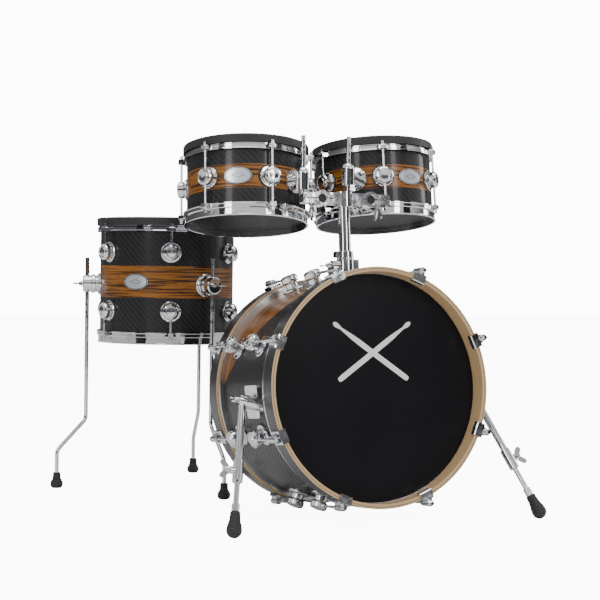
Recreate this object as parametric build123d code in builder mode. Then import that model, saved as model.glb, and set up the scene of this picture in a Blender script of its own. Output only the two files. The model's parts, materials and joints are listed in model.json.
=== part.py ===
from build123d import *
import os
from math import atan2, cos, degrees, hypot, radians, sin, sqrt, tan

# Compact acoustic drum kit: a kick drum that carries two rack toms on a post,
# and a floor tom on three legs.  Millimetres, +Z up, audience at -Y.
# The origin is on the floor, under the middle of the whole kit.

os.makedirs("parts", exist_ok=True)

INCH = 25.4
SIDES = {"left": -1, "right": 1}
PLACE = Vector(64.6, -395.3, 0)     # where the kick's front stands on the plan

# --- drums -------------------------------------------------------------------
KICK_RADIUS = 18 * INCH / 2
KICK_DEPTH = 10 * INCH
KICK_WALL = 7.0
KICK_TILT = 5.63                    # the spurs lift the front of the kick
KICK_LUGS = 8
KICK_LUG_INSET = 70.0               # lug row to bearing edge
RACK_RADIUS = 10 * INCH / 2
RACK_DEPTH = 5.5 * INCH
FLOOR_RADIUS = 12 * INCH / 2
FLOOR_DEPTH = 9.875 * INCH
TOM_WALL = 5.5
TOM_LUGS = 6
FLOOR_LUG_INSET = 60.0

# --- wooden bass hoop, claws and rods ------------------------------------------
WOOD_HOOP_DEPTH = 40.0
WOOD_HOOP_THICK = 10.0
WOOD_HOOP_PROUD = 38.0              # hoop edge beyond the bearing edge
WOOD_HOOP_RADIUS = KICK_RADIUS + 12.4
KICK_ROD_OFFSET = 24.0              # rod axis off the shell
CLAW_WIDTH = 28.0
KEY_ROD_R = 3.0

# --- pressed steel hoop on the toms --------------------------------------------
HOOP_BELOW = 13.5
HOOP_ABOVE = 13.5
RIM_TOP = 18.5                      # rubber cover's top over the bearing edge
TOM_ROD_OFFSET = 13.0
TOM_ROD_R = 2.7
FILM = 0.5

# --- lugs ------------------------------------------------------------------------
LUG_BASE_R = 22.5
LUG_BODY_R = 18.0
GASKET = 1.0

# --- stand tubes -----------------------------------------------------------------
POST_R = 12.7                       # 1 inch tube
TUBE_R = 11.1                       # 7/8 inch tube
RUN = 0.05                          # radial running clearance
ROD_R = 4.75
POST_INSET = 150.0                  # kick's front edge to the post
HOLDER_UP = 166.0                   # holder's middle above the shell
BORE_X = 56.0                       # the two arm bores from the post
ARM_REACH = {"left": 24.0, "right": 33.0}
ROD_AT = {"left": Vector(-83.0, 212.0, 0), "right": Vector(26.5, 221.0, 0)}
ROD_TOP = {"left": 783.0, "right": 786.0}
BALL_R = 9.0
BALL_HOUSING_R = 15.0

# --- where the toms stand --------------------------------------------------------
RACK_AT = {"left": Vector(-155.2, 345.6, 675.8), "right": Vector(151.6, 345.6, 687.1)}
RACK_LEAN_BACK = 9.03
RACK_LEAN_SIDE = {"left": 2.7, "right": 0.0}
RACK_FIRST_LUG = {"left": -90.0, "right": -108.0}
RACK_BADGE = {"left": -120.0, "right": -79.0}
BRACKET_DROP = 3.6
FLOOR_AT = Vector(-223.1, 652.9, 471.5)
FLOOR_FIRST_LUG = -106.3
FLOOR_BADGE = -136.3

# --- floor tom legs --------------------------------------------------------------
LEG_NAMES = ("left", "front", "rear")
LEG_ANGLE = {"left": 165.6, "front": -76.0, "rear": 44.5}
LEG_TURN = {"left": 13.6, "front": -8.0, "rear": 34.7}
LEG_OFFSET = 29.6                   # rod axis off the shell
LEG_TOP = 525.0
LEG_BEND = 155.0
LEG_STEP = 66.8
BRACKET_HEIGHT = -6.5
FOOT_HEIGHT = 35.0

# --- spurs -----------------------------------------------------------------------
SPUR_PIVOT = Vector(263.3, 89.0, 243.6)
SPUR_FOOT = Vector(336.5, -55.0, 15.0)
SPUR_PLATE_ANGLE = 5.5              # below the drum's waist
SPUR_PLATE_INSET = 118.0
SPUR_TUBE_R = 7.5
SPUR_LEG_R = 5.5
SPUR_SLEEVE = (134.0, 178.0)
SPUR_FOOT_R = 15.0


def save(piece, name):
    piece.part.label = name
    export_step(piece.part, f"parts/{name}.step")


def on_plan(point, side=1):
    """A point given from the kick's front edge, in the kit's own frame."""
    return Vector(side * point.X, point.Y, point.Z) + PLACE


def station(drum, angle, radius, height, outward=1):
    """A plane on a drum's wall: Z points away from the wall, Y along the drum's axis."""
    radial = drum.x_dir * cos(radians(angle)) + drum.y_dir * sin(radians(angle))
    along = drum.z_dir * outward
    origin = drum.origin + radial * radius + drum.z_dir * height
    return Plane(origin=origin, x_dir=along.cross(radial), z_dir=radial)


def around(count, first):
    return [first + 360.0 / count * i for i in range(count)]


def leaning_plane(centre, lean_side, lean_back):
    axis = Vector(tan(radians(lean_side)), tan(radians(lean_back)), 1).normalized()
    across = Vector(0, 1, 0).cross(axis)
    return Plane(origin=centre, x_dir=across, z_dir=axis)


KICK_FRONT_EDGE = KICK_DEPTH / 2 + WOOD_HOOP_PROUD
KICK_Z = WOOD_HOOP_RADIUS * cos(radians(KICK_TILT)) + KICK_FRONT_EDGE * sin(radians(KICK_TILT))
KICK = Plane(
    origin=PLACE + Vector(0, KICK_FRONT_EDGE * cos(radians(KICK_TILT)), KICK_Z),
    x_dir=(1, 0, 0),
    z_dir=(0, -cos(radians(KICK_TILT)), sin(radians(KICK_TILT))),
)
RACK = {
    side: leaning_plane(on_plan(RACK_AT[side]), RACK_LEAN_SIDE[side], RACK_LEAN_BACK)
    for side in SIDES
}
FLOOR = Plane(origin=on_plan(FLOOR_AT), x_dir=(1, 0, 0), z_dir=(0, 0, 1))


# === pieces that every drum uses ==================================================


def make_shell(drum, radius, wall, depth):
    """A ply tube with a 45 degree bearing edge cut inside both ends."""
    edge = 0.55 * wall
    with BuildPart() as shell:
        with BuildSketch(Plane(drum.origin, x_dir=drum.x_dir, z_dir=-drum.y_dir)):
            with BuildLine():
                Polyline(
                    (radius, -depth / 2),
                    (radius, depth / 2),
                    (radius - wall + edge, depth / 2),
                    (radius - wall, depth / 2 - edge),
                    (radius - wall, -depth / 2 + edge),
                    (radius - wall + edge, -depth / 2),
                    close=True,
                )
            make_face()
        revolve(axis=Axis(drum.origin, drum.z_dir))
    return shell


def make_ring(drum, points, height, outward=1, rounding=0.0):
    """A ring turned from a profile of (radius, height) points at one end of a drum."""
    with BuildPart() as ring:
        plane = Plane(
            drum.origin + drum.z_dir * height,
            x_dir=drum.x_dir,
            z_dir=drum.x_dir.cross(drum.z_dir * outward),
        )
        with BuildSketch(plane) as profile:
            with BuildLine():
                Polyline(*points, close=True)
            make_face()
            if rounding:
                fillet(profile.vertices(), rounding)
        revolve(axis=Axis(drum.origin, drum.z_dir))
    return ring


def make_heads(drum, radius, depth, flesh):
    """Both heads: film over the bearing edge, collar, and the metal flesh hoop."""
    points = [
        (0, 0.05),
        (radius + 0.3, 0.05),
        (radius + 0.3, -flesh[2]),
        (radius + flesh[0], -flesh[2]),
        (radius + flesh[0], -flesh[1]),
        (radius + 0.9, -flesh[1]),
        (radius + 0.9, 0.05 + FILM),
        (0, 0.05 + FILM),
    ]
    with BuildPart() as heads:
        for outward in (1, -1):
            add(make_ring(drum, points, outward * depth / 2, outward).part)
    return heads


def make_lug(shell_radius, rod_offset, rod_radius):
    """A round lug: saddle base, neck and a turned drum with the rod hole across it."""
    top = rod_offset + 8.5
    with BuildPart() as lug:
        with BuildSketch(Plane.XZ):
            with BuildLine():
                Polyline(
                    (0, -4),
                    (LUG_BASE_R, -4),
                    (LUG_BASE_R, 2.6),
                    (LUG_BASE_R - 1.4, 4),
                    (15, 4.6),
                    (13, 6),
                    (13, rod_offset - 9),
                    (LUG_BODY_R - 2, rod_offset - 7.5),
                    (LUG_BODY_R, rod_offset - 4.5),
                    (LUG_BODY_R, rod_offset + 3.5),
                    (LUG_BODY_R - 1.6, rod_offset + 6.3),
                    (LUG_BODY_R - 4.6, top - 0.6),
                    (LUG_BODY_R - 5.6, top - 1.6),
                    (LUG_BODY_R - 7.0, top - 1.6),
                    (LUG_BODY_R - 8.0, top),
                    (0, top + 1.2),
                    close=True,
                )
            make_face()
        revolve(axis=Axis.Z)
        with BuildSketch(Plane.XZ.offset(-40)):
            with Locations((0, -shell_radius)):
                Circle(shell_radius + GASKET)
        extrude(amount=80, mode=Mode.SUBTRACT)
        with BuildSketch(Plane.XZ.offset(-40)):
            with Locations((0, rod_offset)):
                Circle(rod_radius + 0.15)
        extrude(amount=80, mode=Mode.SUBTRACT)
    return lug


def make_key_rod(radius, inner_end, seat, rod_offset):
    """A key rod along Y at rod_offset: plain shank, washer at the seat, square head."""
    with BuildPart() as rod:
        with BuildSketch(Plane.XZ.offset(-inner_end)):
            with Locations((0, rod_offset)):
                Circle(radius)
        extrude(amount=inner_end - seat)
        with BuildSketch(Plane.XZ.offset(-seat)):
            with Locations((0, rod_offset)):
                Circle(2.1 * radius)
        extrude(amount=-2.0)
        with BuildSketch(Plane.XZ.offset(-seat - 2.0)):
            with Locations((0, rod_offset)):
                RectangleRounded(2.2 * radius, 2.2 * radius, 0.5)
        extrude(amount=-7.0)
    return rod


def place_all(piece, planes):
    with BuildPart() as group:
        with Locations(*planes):
            add(piece.part)
    return group


def make_wing(shaft_r, shaft_length, span=36.0, rise=20.0):
    """A wing bolt along Z: shaft below zero, hub, and two cast ears."""
    ear = 3.4
    with BuildPart() as wing:
        with BuildSketch(Plane.XY):
            Circle(6.0)
        extrude(amount=9.0, taper=8)
        with BuildSketch(Plane.XY):
            Circle(shaft_r)
        extrude(amount=-shaft_length)
        with BuildSketch(Plane.XZ.offset(-ear / 2)):
            for hand in (-1, 1):
                with BuildLine():
                    Polyline(
                        (0, 1.5),
                        (hand * span * 0.27, 2.5),
                        (hand * span * 0.5, rise * 0.55),
                        (hand * span * 0.5, rise * 0.86),
                        (hand * span * 0.36, rise),
                        (hand * span * 0.2, rise * 0.8),
                        (0, 7.5),
                        close=True,
                    )
                make_face()
        extrude(amount=ear)
        ends = wing.edges().filter_by(Axis.Y).filter_by(lambda e: abs(e.center().X) > span * 0.3)
        fillet(ends, 2.2)
    return wing


def make_badge(drum, radius, angle, height=0.0, length=60.0, width=35.0):
    """An oval plate bent to the shell."""
    base = station(drum, angle, radius, height)
    with BuildPart() as badge:
        with BuildSketch(base.offset(-6)):
            Ellipse(length / 2, width / 2)
        extrude(amount=12)
        with BuildSketch(drum.offset(-width)):
            Circle(radius + 2.0)
            Circle(radius + 0.2, mode=Mode.SUBTRACT)
        extrude(amount=2 * width, mode=Mode.INTERSECT)
    return badge


# === one tom, whatever its size ====================================================


def make_steel_hoops(drum, radius, depth, angles):
    """Top and bottom hoops with an ear at each rod."""
    points = [
        (radius + 4.9, -HOOP_BELOW),
        (radius + 7.5, -HOOP_BELOW),
        (radius + 7.5, -HOOP_BELOW + 2.0),
        (radius + 6.5, -HOOP_BELOW + 3.4),
        (radius + 6.5, -3.6),
        (radius + 5.2, -2.2),
        (radius + 3.6, -2.2),
        (radius + 3.6, HOOP_ABOVE - 2.8),
        (radius + 5.5, HOOP_ABOVE - 1.6),
        (radius + 5.0, HOOP_ABOVE),
        (radius + 1.9, HOOP_ABOVE),
        (radius + 1.3, HOOP_ABOVE - 0.9),
        (radius + 1.3, -4.3),
        (radius + 4.9, -4.3),
    ]
    ear_depth = 8.4
    with BuildPart() as ear:
        with BuildSketch(Plane.XZ.offset(HOOP_BELOW - 0.6)):
            with BuildLine():
                Polyline(
                    (-12, 5.2),
                    (12, 5.2),
                    (8.5, TOM_ROD_OFFSET + 5.0),
                    (5.5, TOM_ROD_OFFSET + 6.6),
                    (-5.5, TOM_ROD_OFFSET + 6.6),
                    (-8.5, TOM_ROD_OFFSET + 5.0),
                    close=True,
                )
            make_face()
        extrude(amount=-ear_depth)
        top_edges = ear.faces().sort_by(Axis.Y)[-1].edges()
        chamfer(top_edges, 0.8)
    with BuildPart() as rod_hole:
        with BuildSketch(Plane.XZ.offset(HOOP_BELOW + 1)):
            with Locations((0, TOM_ROD_OFFSET)):
                Circle(TOM_ROD_R + 0.3)
        extrude(amount=-ear_depth - 2)
    with BuildPart() as hoops:
        for outward in (1, -1):
            planes = [station(drum, a, radius, outward * depth / 2, outward) for a in angles]
            add(make_ring(drum, points, outward * depth / 2, outward).part)
            with Locations(*planes):
                add(ear.part)
            with Locations(*planes):
                add(rod_hole.part, mode=Mode.SUBTRACT)
    return hoops


def make_rubber_rim(drum, radius, depth):
    """The black playing edge that snaps over the top hoop."""
    outer = radius + 8.0
    points = [
        (radius + 6.7, 0.6),
        (outer, 0.6),
        (outer, RIM_TOP - 3.4),
        (outer - 1.0, RIM_TOP - 1.0),
        (outer - 3.4, RIM_TOP),
        (radius + 0.8, RIM_TOP),
        (radius - 0.9, RIM_TOP - 1.4),
        (radius - 0.9, 8.0),
        (radius + 0.9, 8.0),
        (radius + 0.9, HOOP_ABOVE + 0.3),
        (radius + 6.7, HOOP_ABOVE + 0.3),
    ]
    return make_ring(drum, points, depth / 2)


def make_tom(prefix, drum, radius, depth, angles, lug_heights, badge_angle):
    """Shell, heads, hoops, rubber rim, lugs, rods and badge of one tom."""
    save(make_shell(drum, radius, TOM_WALL, depth), f"{prefix}_shell")
    save(make_heads(drum, radius, depth, (4.6, 4.6, 10.0)), f"{prefix}_heads")
    save(make_steel_hoops(drum, radius, depth, angles), f"{prefix}_hoops")
    save(make_rubber_rim(drum, radius, depth), f"{prefix}_rubber_rim")

    lug = make_lug(radius, TOM_ROD_OFFSET, TOM_ROD_R)
    lug_planes = [station(drum, a, radius, h) for h in lug_heights for a in angles]
    save(place_all(lug, lug_planes), f"{prefix}_lugs")

    seat = HOOP_BELOW - 0.6 - 8.4 - 0.1                 # just off the ear's outer face
    upper_reach = depth / 2 - max(lug_heights) - 2.0    # bearing edge to inside the lug
    rod = make_key_rod(TOM_ROD_R, -upper_reach, -seat, TOM_ROD_OFFSET)
    rod_planes = [
        station(drum, a, radius, outward * depth / 2, outward)
        for outward in (1, -1)
        for a in angles
    ]
    with BuildPart() as turned:
        add(rod.part)
    save(place_all(turned, rod_planes), f"{prefix}_rods")
    save(make_badge(drum, radius, badge_angle), f"{prefix}_badge")


# === kick drum =====================================================================

kick_angles = around(KICK_LUGS, 22.5)

# the shell, with the hole that the tom post drops through
POST_PLANE = station(KICK, 90, KICK_RADIUS, KICK_FRONT_EDGE - POST_INSET)
with BuildPart() as kick_shell:
    add(make_shell(KICK, KICK_RADIUS, KICK_WALL, KICK_DEPTH).part)
    with BuildSketch(POST_PLANE.offset(-20)):
        Circle(POST_R + 1.5)
    extrude(amount=40, mode=Mode.SUBTRACT)
save(kick_shell, "kick_shell")

save(make_heads(KICK, KICK_RADIUS, KICK_DEPTH, (8.4, 2.4, 15.0)), "kick_heads")

# two wooden hoops, rounded at their outer edges
HOOP_IN = WOOD_HOOP_PROUD - WOOD_HOOP_DEPTH
wood_profile = [
    (WOOD_HOOP_RADIUS - WOOD_HOOP_THICK, HOOP_IN),
    (WOOD_HOOP_RADIUS, HOOP_IN),
    (WOOD_HOOP_RADIUS, WOOD_HOOP_PROUD),
    (WOOD_HOOP_RADIUS - WOOD_HOOP_THICK, WOOD_HOOP_PROUD),
]
with BuildPart() as kick_hoops:
    for end in (1, -1):
        add(make_ring(KICK, wood_profile, end * KICK_DEPTH / 2, end, rounding=1.5).part)
save(kick_hoops, "kick_hoops")

# round lugs in two rows
kick_lug = make_lug(KICK_RADIUS, KICK_ROD_OFFSET, KEY_ROD_R)
kick_lug_height = KICK_DEPTH / 2 - KICK_LUG_INSET
kick_lug_planes = [
    station(KICK, a, KICK_RADIUS, end * kick_lug_height, end) for end in (1, -1) for a in kick_angles
]
save(place_all(kick_lug, kick_lug_planes), "kick_lugs")

# claws: Y = 0 is the hoop's outer edge, Z = 0 its outer wall
CLAW_ROD = KICK_RADIUS + KICK_ROD_OFFSET - WOOD_HOOP_RADIUS
with BuildPart() as claw:
    with BuildSketch(Plane.YZ.offset(-CLAW_WIDTH / 2)):
        with BuildLine():
            Polyline(
                (-34, 0.5),
                (0.4, 0.5),
                (0.4, -WOOD_HOOP_THICK - 1.0),
                (-9, -WOOD_HOOP_THICK - 1.0),
                (-9, -WOOD_HOOP_THICK - 4.0),
                (2.4, -WOOD_HOOP_THICK - 4.0),
                (4.2, -WOOD_HOOP_THICK - 2.2),
                (4.2, 3.2),
                (2.6, 5.0),
                (-30, 5.0),
                (-34, 3.0),
                close=True,
            )
        make_face()
    extrude(amount=CLAW_WIDTH)
    with BuildSketch(Plane.XZ.offset(22)):
        Trapezoid(22, CLAW_ROD - 3.0, 66, align=(Align.CENTER, Align.MIN))
    extrude(amount=-26)
    with BuildSketch(Plane.XZ.offset(24)):
        with Locations((0, CLAW_ROD)):
            Circle(7.0)
    extrude(amount=-30)
    with BuildSketch(Plane.XZ.offset(60)):
        with Locations((0, CLAW_ROD)):
            Circle(KEY_ROD_R + 0.4)
    extrude(amount=-90, mode=Mode.SUBTRACT)
claw_planes = [
    station(KICK, a, WOOD_HOOP_RADIUS, end * KICK_FRONT_EDGE, end)
    for end in (1, -1)
    for a in kick_angles
]
save(place_all(claw, claw_planes), "kick_claws")

kick_rod = make_key_rod(KEY_ROD_R, -WOOD_HOOP_PROUD - KICK_LUG_INSET - 4.0, 6.2, CLAW_ROD)
save(place_all(kick_rod, claw_planes), "kick_tension_rods")

# tom post base: saddle, fluted receiver, and a boss on the left for the wing bolt
BASE_TOP = 44.0
BASE_R = 18.0
BOSS_END = 33.0
WING_HEIGHT = 28.0
FLUTES = 12
with BuildPart() as tom_post_base:
    with BuildSketch(Plane.XY.offset(-6)):
        RectangleRounded(74, 58, 10)
    extrude(amount=10)
    with BuildSketch(Plane.XY):
        Circle(BASE_R)
    extrude(amount=BASE_TOP)
    with BuildSketch(Plane.XY):
        with Locations((20, 0)):
            RectangleRounded(14, 24, 3)
        with Locations((12, 0)):
            Rectangle(14, 24)
    extrude(amount=BASE_TOP - 4)
    with BuildSketch(Plane.YZ.offset(-BOSS_END)):
        with Locations((0, WING_HEIGHT)):
            Circle(10.0)
    extrude(amount=BOSS_END)
    with BuildSketch(Plane.XY.offset(7)):
        with PolarLocations(BASE_R + 1.2, FLUTES, 15):
            Circle(2.4)
    extrude(amount=9, mode=Mode.SUBTRACT)
    with BuildSketch(Plane.XY.offset(BASE_TOP - 5)):
        with PolarLocations(BASE_R + 1.2, FLUTES, 15):
            Circle(2.4)
    extrude(amount=6, mode=Mode.SUBTRACT)
    with BuildSketch(Plane.XY.offset(-10)):
        Circle(POST_R + RUN)
    extrude(amount=BASE_TOP + 20, mode=Mode.SUBTRACT)
    with BuildSketch(Plane.YZ.offset(-BOSS_END - 1)):
        with Locations((0, WING_HEIGHT)):
            Circle(3.05)
    extrude(amount=BOSS_END, mode=Mode.SUBTRACT)
    with BuildSketch(Plane.XZ.offset(-60)):
        with Locations((0, -KICK_RADIUS)):
            Circle(KICK_RADIUS + 0.15)
    extrude(amount=120, mode=Mode.SUBTRACT)
BASE_FRAME = Plane(origin=POST_PLANE.origin, x_dir=(1, 0, 0), z_dir=POST_PLANE.z_dir)
save(place_all(tom_post_base, [BASE_FRAME]), "tom_post_base")

# its wing bolt: the tip stops just short of the post
wing = make_wing(3.0, BOSS_END + 0.3 - POST_R - 0.3)
wing_origin = BASE_FRAME.from_local_coords(Vector(-BOSS_END - 0.3, 0, WING_HEIGHT))
WING_BASE = Plane(origin=wing_origin, x_dir=BASE_FRAME.y_dir, z_dir=(-1, 0, 0))
save(place_all(wing, [WING_BASE]), "post_base_wing")

# === tom post, holder and arms ========================================================

HOLDER = Plane(
    origin=BASE_FRAME.from_local_coords(Vector(0, 0, HOLDER_UP)),
    x_dir=BASE_FRAME.x_dir,
    z_dir=BASE_FRAME.z_dir,
)
HOLDER_HALF = 15.5
POST_BOTTOM = -70.0
LOCK_HEIGHT = 13.0

# the post, and the memory lock ring that sits on the base
with BuildPart() as tom_post:
    with BuildSketch(BASE_FRAME.offset(POST_BOTTOM)):
        Circle(POST_R)
        Circle(POST_R - 2.0, mode=Mode.SUBTRACT)
    extrude(amount=HOLDER_UP + HOLDER_HALF - 1.5 - POST_BOTTOM)
with BuildPart() as lock_ring:
    with BuildSketch(Plane.XY):
        Circle(17.5)
        with Locations((-17, 0)):
            Rectangle(16, 13)
        Circle(POST_R + 0.1, mode=Mode.SUBTRACT)
        with Locations((-20, 0)):
            Rectangle(20, 2.0, mode=Mode.SUBTRACT)
    extrude(amount=LOCK_HEIGHT)
    chamfer(lock_ring.edges().filter_by(GeomType.CIRCLE).group_by(Axis.Z)[-1], 1.0)
with BuildPart() as post_and_lock:
    add(tom_post.part)
    with Locations(BASE_FRAME.offset(BASE_TOP + 0.3)):
        add(lock_ring.part)
save(post_and_lock, "tom_post")

# double holder: a split clamp on the post and two split bores that face the audience
HOLDER_FRONT = -18.6
HOLDER_BACK = 5.0
JAW_END = 100.0
JAW_SLOT = 2.6
SCREW_X = 76.0
with BuildPart() as holder:
    with BuildSketch(Plane.XY.offset(-HOLDER_HALF)):
        Circle(19.5)
    extrude(amount=2 * HOLDER_HALF)
    with BuildSketch(Plane.XZ.offset(-HOLDER_BACK)):
        for hand in (-1, 1):
            with Locations((hand * (BORE_X + 22) - hand * 0, 0)):
                RectangleRounded(2 * (JAW_END - BORE_X - 22), 22, 4)
            with Locations((hand * 35, 0)):
                Rectangle(44, 24)
            with Locations((hand * BORE_X, 0)):
                Circle(HOLDER_HALF + 1.0)
    extrude(amount=HOLDER_BACK - HOLDER_FRONT)
    with BuildSketch(Plane.XZ.offset(-40)):
        with Locations((-BORE_X, 0), (BORE_X, 0)):
            Circle(TUBE_R + RUN)
        for hand in (-1, 1):
            with Locations((hand * (JAW_END + 28) / 2, 0)):
                Rectangle(JAW_END - 26, JAW_SLOT)
    extrude(amount=80, mode=Mode.SUBTRACT)
    with BuildSketch(Plane.XY.offset(-30)):
        Circle(POST_R + RUN)
        with Locations((-SCREW_X, -6.8), (SCREW_X, -6.8)):
            Circle(3.15)
    extrude(amount=60, mode=Mode.SUBTRACT)
    with BuildSketch(Plane.XY.offset(-30)):
        with Locations((0, 20)):
            Rectangle(2.4, 20)
    extrude(amount=60, mode=Mode.SUBTRACT)
save(place_all(holder, [HOLDER]), "tom_holder")

# the wing bolts that close the two bores, one under each jaw
for side, hand in SIDES.items():
    origin = HOLDER.from_local_coords(Vector(hand * SCREW_X, -6.8, -11.4))
    jaw_wing = make_wing(3.0, 21.0, span=34.0, rise=30.0)
    plane = Plane(origin=origin, x_dir=HOLDER.y_dir, z_dir=-HOLDER.z_dir)
    save(place_all(jaw_wing, [plane]), f"holder_wing_{side}")

# arms: a tube through the bore with a ball housing at its end; rods: ball, short leg, bend, long leg
ARM_FRONT = -16.0
for side, hand in SIDES.items():
    bore = HOLDER.from_local_coords(Vector(hand * BORE_X, 0, 0))
    reach = ARM_REACH[side]
    ball = bore + HOLDER.y_dir * reach
    along = Plane(origin=bore, x_dir=HOLDER.x_dir, z_dir=HOLDER.y_dir)
    with BuildPart() as arm:
        with BuildSketch(along.offset(ARM_FRONT)):
            Circle(TUBE_R)
        extrude(amount=reach - ARM_FRONT)
        with Locations(Plane(ball, x_dir=HOLDER.x_dir, z_dir=HOLDER.z_dir)):
            Sphere(BALL_HOUSING_R)
            Sphere(BALL_R + RUN, mode=Mode.SUBTRACT)
        with BuildSketch(Plane(ball, x_dir=(0, 1, 0), z_dir=(-1, 0, 0))):
            Circle(ROD_R + 0.6)
        extrude(amount=BALL_HOUSING_R + 5, mode=Mode.SUBTRACT)
        with BuildSketch(along.offset(ARM_FRONT - 1)):
            Circle(TUBE_R - 2.2)
        extrude(amount=min(26.0, reach - ARM_FRONT - BALL_HOUSING_R + 4), mode=Mode.SUBTRACT)
    save(arm, f"tom_arm_{side}")

    knee = Vector(on_plan(ROD_AT[side]).X, ball.Y, ball.Z)
    top = Vector(knee.X, knee.Y, ROD_TOP[side])
    with BuildPart() as tilt_rod:
        with BuildLine():
            FilletPolyline(ball, knee, top, radius=13.0)
        with BuildSketch(Plane(ball, x_dir=(0, 1, 0), z_dir=(-1, 0, 0))):
            Circle(ROD_R)
        sweep()
        with Locations(ball):
            Sphere(BALL_R)
    save(tilt_rod, f"tom_rod_{side}")
    ROD_AT[side] = Vector(knee.X, knee.Y, 0)

# === rack toms ===========================================================================

BRACKET_R = 25.0
CLAMP_R = 13.5
for side in SIDES:
    drum = RACK[side]
    name = f"{side}_tom"
    make_tom(
        name, drum, RACK_RADIUS, RACK_DEPTH,
        around(TOM_LUGS, RACK_FIRST_LUG[side]), [0.0], RACK_BADGE[side],
    )
    # the bracket reaches from the shell to the upright rod, and its clamp is bored along the rod
    rod = ROD_AT[side]
    offset = rod - Vector(drum.origin.X, drum.origin.Y, 0)
    axis = drum.z_dir
    rise = (-BRACKET_DROP - offset.X * axis.X - offset.Y * axis.Y) / axis.Z
    clamp_centre = Vector(rod.X, rod.Y, drum.origin.Z + rise)
    local = drum.to_local_coords(clamp_centre)
    reach = hypot(local.X, local.Y) - RACK_RADIUS
    base = station(drum, degrees(atan2(local.Y, local.X)), RACK_RADIUS, local.Z)
    with BuildPart() as bracket:
        with BuildSketch(base.offset(-4)):
            Circle(BRACKET_R)
        extrude(amount=8.4)
        with BuildSketch(base.offset(4.4)):
            Circle(BRACKET_R - 7)
        extrude(amount=3.4)
        with BuildSketch(base.offset(2)):
            Circle(12.5)
        extrude(amount=reach - 2)
        with BuildSketch(drum.offset(local.Z - 60)):
            Circle(RACK_RADIUS + GASKET)
        extrude(amount=120, mode=Mode.SUBTRACT)
        with BuildSketch(Plane.XY.offset(clamp_centre.Z - 20)):
            with Locations((rod.X, rod.Y)):
                Circle(CLAMP_R)
        extrude(amount=34)
        with Locations(clamp_centre + Vector(0, 0, 14)):
            Sphere(CLAMP_R)
        with BuildSketch(Plane.XY.offset(clamp_centre.Z - 60)):
            with Locations((rod.X, rod.Y)):
                Circle(ROD_R + RUN)
        extrude(amount=120, mode=Mode.SUBTRACT)
    save(bracket, f"{name}_bracket")

# === floor tom ============================================================================

floor_angles = around(TOM_LUGS, FLOOR_FIRST_LUG)
floor_lug_height = FLOOR_DEPTH / 2 - FLOOR_LUG_INSET
make_tom(
    "floor_tom", FLOOR, FLOOR_RADIUS, FLOOR_DEPTH,
    floor_angles, [floor_lug_height, -floor_lug_height], FLOOR_BADGE,
)

# leg brackets: disc, drum and a clamp block bored for the upright leg
with BuildPart() as leg_bracket:
    with BuildSketch(Plane.XZ):
        with BuildLine():
            Polyline(
                (0, -5),
                (25, -5),
                (25, 3.2),
                (23.4, 5),
                (19.5, 5.6),
                (19.5, 11),
                (21.5, 13),
                (21.5, 19),
                (19, 21),
                (19, 37),
                (16.6, 39.5),
                (0, 39.5),
                close=True,
            )
        make_face()
    revolve(axis=Axis.Z)
    with BuildSketch(Plane.XZ.offset(-60)):
        with Locations((0, -FLOOR_RADIUS)):
            Circle(FLOOR_RADIUS + GASKET)
        with Locations((0, LEG_OFFSET)):
            Circle(ROD_R + RUN)
    extrude(amount=120, mode=Mode.SUBTRACT)
    with BuildSketch(Plane.XY.offset(LEG_OFFSET)):
        Circle(4.1)
    extrude(amount=20, mode=Mode.SUBTRACT)
leg_planes = {
    leg: station(FLOOR, LEG_ANGLE[leg], FLOOR_RADIUS, BRACKET_HEIGHT) for leg in LEG_NAMES
}
save(place_all(leg_bracket, list(leg_planes.values())), "floor_tom_leg_brackets")

# legs with their outward step, rubber feet and wing bolts
leg_wing = make_wing(4.0, 4.6, span=40.0, rise=22.0)
FOOT_R = 14.5
for leg in LEG_NAMES:
    radial = radians(LEG_ANGLE[leg])
    out = radians(LEG_ANGLE[leg] + LEG_TURN[leg])
    rod_radius = FLOOR_RADIUS + LEG_OFFSET
    x0 = FLOOR.origin.X + rod_radius * cos(radial)
    y0 = FLOOR.origin.Y + rod_radius * sin(radial)
    x1 = x0 + LEG_STEP * cos(out)
    y1 = y0 + LEG_STEP * sin(out)
    low_bend = LEG_BEND - 1.05 * LEG_STEP
    with BuildPart() as floor_leg:
        with BuildLine():
            FilletPolyline(
                (x0, y0, LEG_TOP), (x0, y0, LEG_BEND), (x1, y1, low_bend), (x1, y1, 8.0),
                radius=22.0,
            )
        with BuildSketch(Plane(origin=(x0, y0, LEG_TOP), z_dir=(0, 0, -1))):
            Circle(ROD_R)
        sweep()
    save(floor_leg, f"floor_leg_{leg}")

    with BuildPart() as foot:
        with BuildSketch(Plane(origin=(x1, y1, 0), x_dir=(1, 0, 0), z_dir=(0, -1, 0))):
            with BuildLine():
                outline = Polyline(
                    (ROD_R + RUN, 7.0), (0, 7.0), (0, 0), (FOOT_R - 4.5, 0),
                    (FOOT_R - 0.8, 4.0), (FOOT_R, 9.0),
                )
                Spline(
                    (FOOT_R, 9.0), (10.6, 19.0), (8.8, FOOT_HEIGHT),
                    tangents=((0, 1), (0, 1)),
                )
                Line((8.8, FOOT_HEIGHT), (ROD_R + RUN, FOOT_HEIGHT))
                Line((ROD_R + RUN, FOOT_HEIGHT), (ROD_R + RUN, 7.0))
            make_face()
        revolve(axis=Axis((x1, y1, 0), (0, 0, 1)))
    save(foot, f"floor_foot_{leg}")
    save(place_all(leg_wing, [leg_planes[leg].offset(39.9)]), f"floor_leg_wing_{leg}")

# === spurs ==================================================================================


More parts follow.
